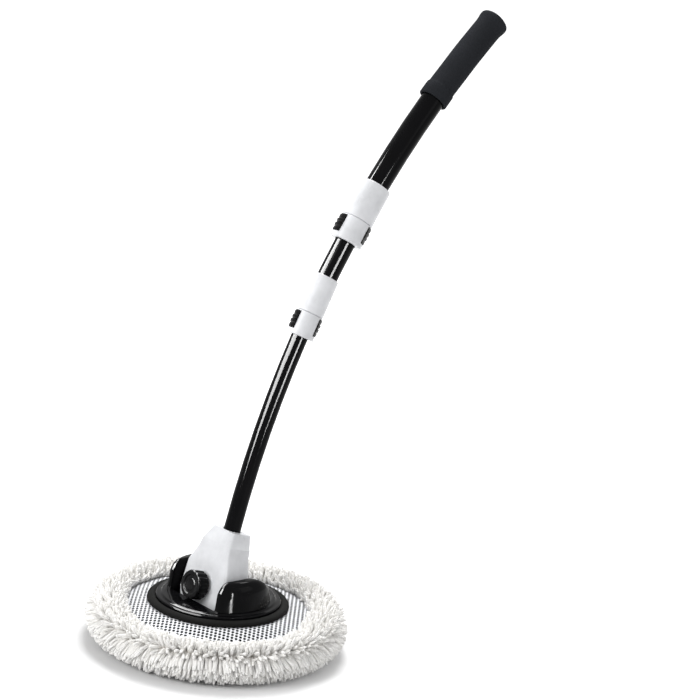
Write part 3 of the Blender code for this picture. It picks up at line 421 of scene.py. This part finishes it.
def fringe_row(number, row):
    """The outer strands, combed outwards and down."""
    count, radius, height, first, last = FRINGE_ROWS[row]
    turn = SECTOR * (number + (np.arange(count) + 0.5 * (row % 2)) / count) + rng.normal(0, 0.004, count)
    loose = looseness(turn)
    first = radians(first) + 0.20 * loose + 0.10 * sway(turn) + rng.normal(0, 0.05, count)
    last = radians(last) + 0.34 * loose + 0.16 * sway(turn, 1) + rng.normal(0, 0.10, count)
    side = 0.045 * sway(turn * 1.3, row) + rng.normal(0, 0.011, count)
    radius = radius + rng.normal(0, 0.0006, count)
    height = height + rng.normal(0, 0.0006, count)
    return rim_family(turn, radius, height, first, last, side, rng.uniform(0.92, 1.06, count))


def ridge(number):
    """The strands between the fringe and the top."""
    count = RIDGE_COUNT
    turn = SECTOR * (number + (np.arange(count) + 0.25) / count) + rng.normal(0, 0.008, count)
    first = rng.uniform(radians(-10), radians(54), count) + 0.10 * looseness(turn)
    last = first + rng.normal(0, 0.12, count)
    radius = RIDGE_ROOT[0] + rng.normal(0, 0.0006, count)
    height = RIDGE_ROOT[1] + rng.normal(0, 0.0005, count)
    side = 0.04 * sway(turn, 1) + rng.normal(0, 0.016, count)
    reach = rng.uniform(0.72, 0.92, count) + 0.10 * looseness(turn)
    return rim_family(turn, radius, height, first, last, side, reach)


def top(number):
    """The strands on top, from the ridge (spots near 0) to the net (spots near 1)."""
    count = TOP_COUNT
    spots = (np.arange(count) + 0.5) / count
    turn = SECTOR * (number + (np.arange(count) * GOLDEN) % 1) + rng.normal(0, 0.006, count)
    loose = looseness(turn)
    radius = TOP_ROOT[0] - TOP_WIDTH * spots + rng.normal(0, 0.0007, count)
    height = TOP_ROOT[1] + 0.0028 * loose - 0.0010 * (1 - spots) + rng.normal(0, 0.0006, count)
    slope = radians(64) - radians(26) * loose + (radians(36) + radians(40) * loose) * spots
    first = slope + rng.normal(0, 0.09, count)
    last = first + 0.10 * loose + 0.22 * sway(turn, 2) + rng.normal(0, 0.15, count)
    side = 0.045 * sway(turn * 1.7, 3) + rng.normal(0, 0.024, count)
    return rim_family(turn, radius, height, first, last, side, rng.uniform(0.88, 1.05, count))


def filler(number):
    """Shorter strands all round the backing, which hide it."""
    count = FILLER_COUNT
    turn = SECTOR * (number + (np.arange(count) * GOLDEN + 0.3) % 1)
    first = radians(-70) + radians(175) * (np.arange(count) + 0.5) / count
    last = first + rng.normal(0, 0.2, count)
    radius = BACKING_CENTRE[0] + FILLER_HALF[0] * np.cos(first)
    height = BACKING_CENTRE[1] + FILLER_HALF[1] * np.sin(first)
    side = rng.normal(0, 0.03, count)
    return rim_family(turn, radius, height, first, last, side, rng.uniform(0.5, 0.7, count))


def rim_strands(number):
    families = [fringe_row(number, row) for row in range(len(FRINGE_ROWS))]
    return join_pieces(families + [ridge(number), top(number), filler(number)])


def join_pieces(families):
    points, faces, tones, depths, start = [], [], [], [], 0
    for more_points, more_faces, tone, depth in families:
        points.append(more_points)
        faces += [tuple(index + start for index in face) for face in more_faces]
        tones.append(tone)
        depths.append(depth)
        start += len(more_points)
    return np.concatenate(points), faces, np.concatenate(tones), np.concatenate(depths)


def rim_backing(number):
    """The inner tube of fabric that the strands grow from."""
    columns, rows = 14, 20
    points, faces = [], []
    for column in range(columns + 1):
        turn = SECTOR * (number + column / columns)
        for row in range(rows):
            angle = 2 * pi * row / rows
            radius = BACKING_CENTRE[0] + BACKING_HALF[0] * cos(angle)
            height = BACKING_CENTRE[1] + BACKING_HALF[1] * sin(angle)
            points.append((radius * cos(turn), radius * sin(turn), height))
    for column in range(columns):
        for row in range(rows):
            after = (row + 1) % rows
            low, high = column * rows, (column + 1) * rows
            faces.append((low + row, high + row, high + after, low + after))
    faces.append(tuple(range(rows)))
    faces.append(tuple(reversed(range(columns * rows, (columns + 1) * rows))))
    return points, faces


def pile_piece(name, strands, backing, node):
    """One piece of pile: its strands, and the backing that they grow from, whose tone and depth are 0, so
    the backing takes the full painted root shade.
    """
    points, faces, tone, depth = strands
    base_points, base_faces = backing
    start = len(points)
    faces = faces + [tuple(index + start for index in face) for face in base_faces]
    plain = np.zeros(len(base_points))
    piece(name, np.concatenate([points, np.array(base_points)]), faces, YARN, "head", [node],
          {"tone": np.concatenate([tone, plain]), "depth": np.concatenate([depth, plain])})


for number in range(SECTORS):
    pile_piece("chenille_rim_%d" % (number + 1), rim_strands(number), rim_backing(number),
               "pile_rim_%d" % (number + 1))


# ------------------------------------------------------------------ chenille underside
UNDERSIDE_PITCH = 0.0041
UNDERSIDE_ROW_SHARE = 0.87
UNDERSIDE_RADIUS = 0.1085
UNDERSIDE_ROOT = 0.0125
UNDERSIDE_TAPER = np.array([0.75, 1.0, 1.04, 0.98, 0.66])
UNDERSIDE_TIP = 0.0010
UNDERSIDE_DRIFT = 0.003
UNDERSIDE_BACKING = 0.104
UNDERSIDE_HEIGHTS = (0.0115, 0.0140)
UNDERSIDE_STEPS = 64


def underside_strands():
    steps = int(UNDERSIDE_RADIUS / UNDERSIDE_PITCH) + 5
    spots = []
    for row in range(-steps, steps + 1):
        for column in range(-steps, steps + 1):
            x = (column + 0.5 * (row % 2)) * UNDERSIDE_PITCH
            y = row * UNDERSIDE_PITCH * UNDERSIDE_ROW_SHARE
            if (x * x + y * y) ** 0.5 < UNDERSIDE_RADIUS:
                spots.append((x, y))
    spots = np.array(spots) + rng.normal(0, 0.0006, (len(spots), 2))
    count = len(spots)
    share = np.linspace(0, 1, len(UNDERSIDE_TAPER))[None, :]
    turn = rng.uniform(0, 2 * pi, count)
    spread = rng.uniform(0.001, 0.0055, count)
    drift = spots / np.maximum(np.linalg.norm(spots, axis=1, keepdims=True), 0.001) * UNDERSIDE_DRIFT
    x = spots[:, 0, None] + (spread * np.cos(turn) + drift[:, 0])[:, None] * share ** SIDE_CURVE
    y = spots[:, 1, None] + (spread * np.sin(turn) + drift[:, 1])[:, None] * share ** SIDE_CURVE
    low = rng.uniform(0.0013, 0.0032, count)
    thick = YARN_RADIUS * rng.uniform(0.86, 1.10, count)[:, None] * UNDERSIDE_TAPER
    z = UNDERSIDE_ROOT + (low[:, None] - UNDERSIDE_ROOT) * share
    paths = np.stack([x, y, z], axis=2)
    hint = np.tile([1.0, 0.02, 0.0], (count, 1))
    return tubes(paths, thick, np.full(count, UNDERSIDE_TIP), hint, rng.uniform(0, 1, count))


def underside_backing():
    """A closed disc."""
    steps = UNDERSIDE_STEPS
    points = []
    for height in UNDERSIDE_HEIGHTS:
        for step in range(steps):
            turn = 2 * pi * step / steps
            points.append((UNDERSIDE_BACKING * cos(turn), UNDERSIDE_BACKING * sin(turn), height))
    faces = [tuple(reversed(range(steps))), tuple(range(steps, 2 * steps))]
    for step in range(steps):
        after = (step + 1) % steps
        faces.append((step, after, steps + after, steps + step))
    return points, faces


pile_piece("chenille_underside", underside_strands(), underside_backing(), "pile_underside")


# ------------------------------------------------------------------ lathed pieces
def lathe(name, profile, sides, place, look, body, replaced, wobble=None):
    """A closed turned body: profile is (radius, along) pairs, the first and last on or near the axis."""
    points, faces = [], []
    for radius, along in profile:
        for side in range(sides):
            turn = 2 * pi * side / sides
            grow = wobble(turn, along) if wobble else 0
            points.append(place((radius + grow) * cos(turn), (radius + grow) * sin(turn), along))
    rows = len(profile)
    for row in range(rows - 1):
        for side in range(sides):
            after = (side + 1) % sides
            low, high = row * sides, (row + 1) * sides
            faces.append((low + side, low + after, high + after, high + side))
    faces.append(tuple(reversed(range(sides))))
    faces.append(tuple(range((rows - 1) * sides, rows * sides)))
    return piece(name, points, faces, look, body, replaced)


def ring_lathe(name, profile, sides, look, body, replaced, wobble=None):
    """A closed ring: profile is a closed loop of (radius, height)."""
    points, faces = [], []
    for side in range(sides):
        turn = 2 * pi * side / sides
        for radius, height in profile:
            grow = wobble(turn, height) if wobble else 0
            points.append(((radius + grow) * cos(turn), (radius + grow) * sin(turn), height))
    size = len(profile)
    for side in range(sides):
        after = (side + 1) % sides
        for row in range(size):
            up = (row + 1) % size
            faces.append((side * size + row, after * size + row, after * size + up, side * size + up))
    return piece(name, points, faces, look, body, replaced)


CORE_SIDES = 96
core_low, core_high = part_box("foam_core")
core_radius, core_top, core_floor = core_high.x, core_high.z, core_low.z
core = lathe("cover_cushion", [(core_radius - 0.004, core_floor), (core_radius - 0.001, core_floor + 0.001),
                               (core_radius, core_floor + 0.004), (core_radius, core_top - 0.004),
                               (core_radius - 0.0012, core_top - 0.001), (core_radius - 0.004, core_top),
                               (0.04, core_top), (0.002, core_top)],
             CORE_SIDES, lambda x, y, z: (x, y, z), CORE, "head", ["foam_core"])


def band_wobble(turn, height):
    return 0.00012 * sin(31 * turn + 1) + 0.00008 * sin(53 * turn)


BAND_SIDES = 240
# How far in from the binding's outer radius, and how far up from its foot or down from its top
BAND_LOWER = [(0.0098, 0), (0.0040, 0), (0.0010, 0), (0.0002, 0.0005), (0, 0.0014), (0.0003, 0.0025),
              (0.0012, 0.0036), (0.0026, 0.0043)]
BAND_UPPER = [(0.0045, 0.0002), (0.0062, 0), (0.0080, 0.0004), (0.0098, 0.0014)]
band_low, band_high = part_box("cover_binding")
band_profile = [(band_high.x - inward, band_low.z + up) for inward, up in BAND_LOWER]
band_profile += [(band_high.x - inward, band_high.z - down) for inward, down in BAND_UPPER]
band = ring_lathe("binding_band", band_profile, BAND_SIDES, BAND, "head", ["cover_binding"],
                  band_wobble)


# ------------------------------------------------------------------ net
COLUMN_PITCH = 0.00427
ROW_PITCH = 0.0049
ROW_SKEW = -0.0010
HOLE_SHARE = (0.36, 0.43)
HOLE_CORNER = 0.72


def net():
    """A knit with an eight-sided hole in each mesh. Columns run away from the camera."""
    right = Vector((cos(CAMERA_AZIMUTH), sin(CAMERA_AZIMUTH)))
    ahead = Vector((-right.y, right.x))
    corner_at = {}
    points, faces = [], []

    def add(across, along):
        spot = right * across + ahead * along
        points.append((spot.x, spot.y, float(net_height(np.float64(spot.length)))))
        return len(points) - 1

    def corner(column, row):
        key = (round(column * 2), round(row * 2))
        if key not in corner_at:
            corner_at[key] = add(column * COLUMN_PITCH, row * ROW_PITCH + column * ROW_SKEW)
        return corner_at[key]

    half, slant = 0.5, HOLE_CORNER
    outline = [(-half, -half), (0, -half), (half, -half), (half, 0), (half, half), (0, half), (-half, half),
               (-half, 0)]
    hole = [(-slant, -slant), (0, -1), (slant, -slant), (1, 0), (slant, slant), (0, 1), (-slant, slant),
            (-1, 0)]
    columns = int(NET_OUTER / COLUMN_PITCH) + 2
    rows = int(NET_OUTER / ROW_PITCH) + 8
    for column in range(-columns, columns + 1):
        for row in range(-rows, rows + 1):
            across = column * COLUMN_PITCH
            along = row * ROW_PITCH + column * ROW_SKEW
            radius = (across * across + along * along) ** 0.5
            if not NET_INNER < radius < NET_OUTER:
                continue
            edge = [corner(column + a, row + b) for a, b in outline]
            inner = [add(across + a * HOLE_SHARE[0] * COLUMN_PITCH, along + b * HOLE_SHARE[1] * ROW_PITCH)
                     for a, b in hole]
            for index in range(len(hole)):
                after = (index + 1) % len(hole)
                faces.append((edge[index], edge[after], inner[after], inner[index]))
    return points, faces


net_points, net_faces = net()
net_piece = piece("open_net", net_points, net_faces, NET, "head", ["cover_net"])
thicken = net_piece.modifiers.new("thickness", "SOLIDIFY")
thicken.thickness = NET_THICKNESS
thicken.offset = -1


# ------------------------------------------------------------------ grip
def pole_place(x, y, along):
    """The place beside the pole's arc: x across, y towards the arc's centre, along from the cross axle."""
    angle = LEAN + (along - ARC_START) / ARC_RADIUS
    radius = ARC_RADIUS - y
    return (x, ARC_CENTRE[0] - radius * cos(angle), ARC_CENTRE[1] + radius * sin(angle))


GRIP_FOOT = 0.5659
GRIP_LENGTH = 0.116
GRIP_RADIUS = 0.0153
GRIP_SIDES = 64
# Radius and distance from the grip's foot: down the bore, round the band at the foot and up the outside
GRIP_PROFILE = [(0.0030, 0.1100), (0.0133, 0.1100), (0.0133, 0.0), (0.0158, 0.0), (0.01625, 0.0003),
                (0.0164, 0.0010), (0.0164, 0.0080), (0.0163, 0.0138), (0.0161, 0.0147), (0.0156, 0.0152),
                (0.01535, 0.0158)]
GRIP_PROFILE += [(GRIP_RADIUS, GRIP_LENGTH * share) for share in np.linspace(0.16, 0.86, 22)]
GRIP_PROFILE += [(0.01535, 0.1025), (0.0156, 0.1052), (0.0160, 0.1078), (0.0164, 0.1100), (0.0165, 0.1120),
                 (0.0163, 0.1137), (0.0156, 0.1149), (0.0144, 0.1157), (0.0120, 0.1162), (0.0080, 0.1165),
                 (0.0030, 0.1166)]


def grip_wobble(turn, along):
    return 0.00010 * sin(3 * turn + 70 * along) + 0.00007 * sin(5 * turn - 130 * along)


grip_profile = [(radius, GRIP_FOOT + along) for radius, along in GRIP_PROFILE]
grip = lathe("grip_foam", grip_profile, GRIP_SIDES, pole_place, FOAM, "upper", ["grip"],
             grip_wobble)


# ------------------------------------------------------------------ floor and light
FLOOR_HALF = 40
# The floor's painted glow is withheld around this point, a little to one side of the head, which paints
# shade there.
SHADE_CENTRE = (-0.018, -0.020, 0)
SHADE_RANGE = (0.122, 0.30)
FLOOR_GLOW = 0.72
AMBIENT = 0.54


def stage_material():
    """A pale floor with a painted glow that rises away from a point beside the head: white further off, and
    left darker near the head, which is painted shade on top of the real shadow.
    """
    look = Look("pale_floor", (0.74, 0.74, 0.742), 0.9, Specular_IOR_Level=0.0)
    path = look.node("LightPath")
    sees = look.node("Math", {"operation": "MAXIMUM"})
    both = look.node("Math", {"operation": "MAXIMUM"})
    look.feed(sees, "0", path.outputs["Is Camera Ray"])
    look.feed(sees, "1", path.outputs["Is Glossy Ray"])
    look.feed(both, "0", sees.outputs[0])
    look.feed(both, "1", path.outputs["Is Transmission Ray"])
    # Painted glow: emission grows with distance from SHADE_CENTRE, so the floor near the head stays darker
    # as painted shade.
    glow = look.node("Math", {"operation": "MULTIPLY"})
    place = look.node("VectorMath", {"operation": "DISTANCE"})
    look.feed(place, "0", look.place())
    place.inputs[1].default_value = SHADE_CENTRE
    look.feed(glow, "0", both.outputs[0])
    look.feed(glow, "1", look.ramp(place.outputs["Value"], *SHADE_RANGE, 0.0, FLOOR_GLOW))
    look.set("Emission Color", (1, 1, 1, 1))
    look.feed(look.shader, "Emission Strength", glow.outputs[0])
    return look.material


def floor():
    mesh = bpy.data.meshes.new("floor")
    size = FLOOR_HALF
    corners = [(-size, -size, 0), (size, -size, 0), (size, size, 0), (-size, size, 0)]
    mesh.from_pydata(corners, [], [(0, 1, 2, 3)])
    mesh.materials.append(stage_material())
    made = bpy.data.objects.new("floor", mesh)
    bpy.context.scene.collection.objects.link(made)


floor()


def world():
    made = bpy.data.worlds.new("studio")
    bpy.context.scene.world = made
    made.use_nodes = True
    tree = made.node_tree
    back = tree.nodes["Background"]
    path = tree.nodes.new("ShaderNodeLightPath")
    most = path.outputs["Is Camera Ray"]
    for other in ("Is Glossy Ray", "Is Transmission Ray"):
        bigger = tree.nodes.new("ShaderNodeMath")
        bigger.operation = "MAXIMUM"
        tree.links.new(most, bigger.inputs[0])
        tree.links.new(path.outputs[other], bigger.inputs[1])
        most = bigger.outputs[0]
    level = tree.nodes.new("ShaderNodeMapRange")
    level.inputs["To Min"].default_value = AMBIENT
    level.inputs["To Max"].default_value = 1.0
    tree.links.new(most, level.inputs["Value"])
    tree.links.new(level.outputs["Result"], back.inputs["Strength"])
    back.inputs["Color"].default_value = (1, 1, 1, 1)


world()
POLE_AIM = (0, 0.08, 0.30)
HEAD_AIM = (0, 0, 0.05)
SIDEWAYS = Vector((cos(CAMERA_AZIMUTH), sin(CAMERA_AZIMUTH), 0))
TOWARDS = Vector((sin(CAMERA_AZIMUTH), -cos(CAMERA_AZIMUTH), 0))


def lamp(name, right, near, height, wide, tall, level, roll=0, diffuse=True, only=None, aim=POLE_AIM):
    """A soft box, by metres to the right of, in front of and above the object; level is its radiance."""
    data = bpy.data.lights.new(name, "AREA")
    data.shape = "RECTANGLE"
    data.size = wide
    data.size_y = tall
    data.energy = level * wide * tall * pi
    made = bpy.data.objects.new(name, data)
    bpy.context.scene.collection.objects.link(made)
    made.location = SIDEWAYS * right + TOWARDS * near + Vector((0, 0, height))
    facing = (made.location - Vector(aim)).to_track_quat("Z", "Y")
    made.rotation_euler = (facing @ Quaternion((0, 0, 1), radians(roll))).to_euler()
    made.visible_diffuse = diffuse
    made.visible_camera = False
    if only:
        made.light_linking.receiver_collection = only


def lit_group(name, *members):
    made = bpy.data.collections.new(name)
    for member in members:
        made.objects.link(nodes[member])
    return made


tubes_only = lit_group("tubes_only", "lower_tube", "middle_tube", "upper_tube")
housing_only = lit_group("housing_only", "head_housing", "clamp_knob", "pivot_block")
locks_only = lit_group("locks_only", "lower_lock_collar", "lower_lock_ring", "upper_lock_collar",
                       "upper_lock_ring")
lamp("key", -2.0, 1.5, 1.7, 1.3, 1.3, 8.2)
lamp("fill", 2.2, 0.9, 1.4, 1.3, 1.3, 1.2)
lamp("back", 0.1, -1.6, 2.8, 1.3, 1.3, 17.0)
lamp("lock_side", -2.2, -0.5, 0.9, 1.0, 1.3, 5.5, only=locks_only)
lamp("left_streak", -2.2, 0.7, 1.52, 3.2, 1.2, 190, roll=-15, diffuse=False, only=tubes_only)
lamp("right_streak", 1.28, 1.53, 0.62, 0.6, 0.9, 190, diffuse=False, only=tubes_only)
lamp("edge_strip", -0.95, 0.2, 1.45, 3.4, 1.1, 90, roll=-30, diffuse=False, only=housing_only, aim=HEAD_AIM)
lamp("left_gleam", -1.5, 0.8, 0.9, 0.5, 0.9, 180, diffuse=False, only=housing_only)
lamp("right_gleam", 0.9, 1.5, 0.35, 0.07, 0.5, 200, diffuse=False, only=housing_only, aim=HEAD_AIM)
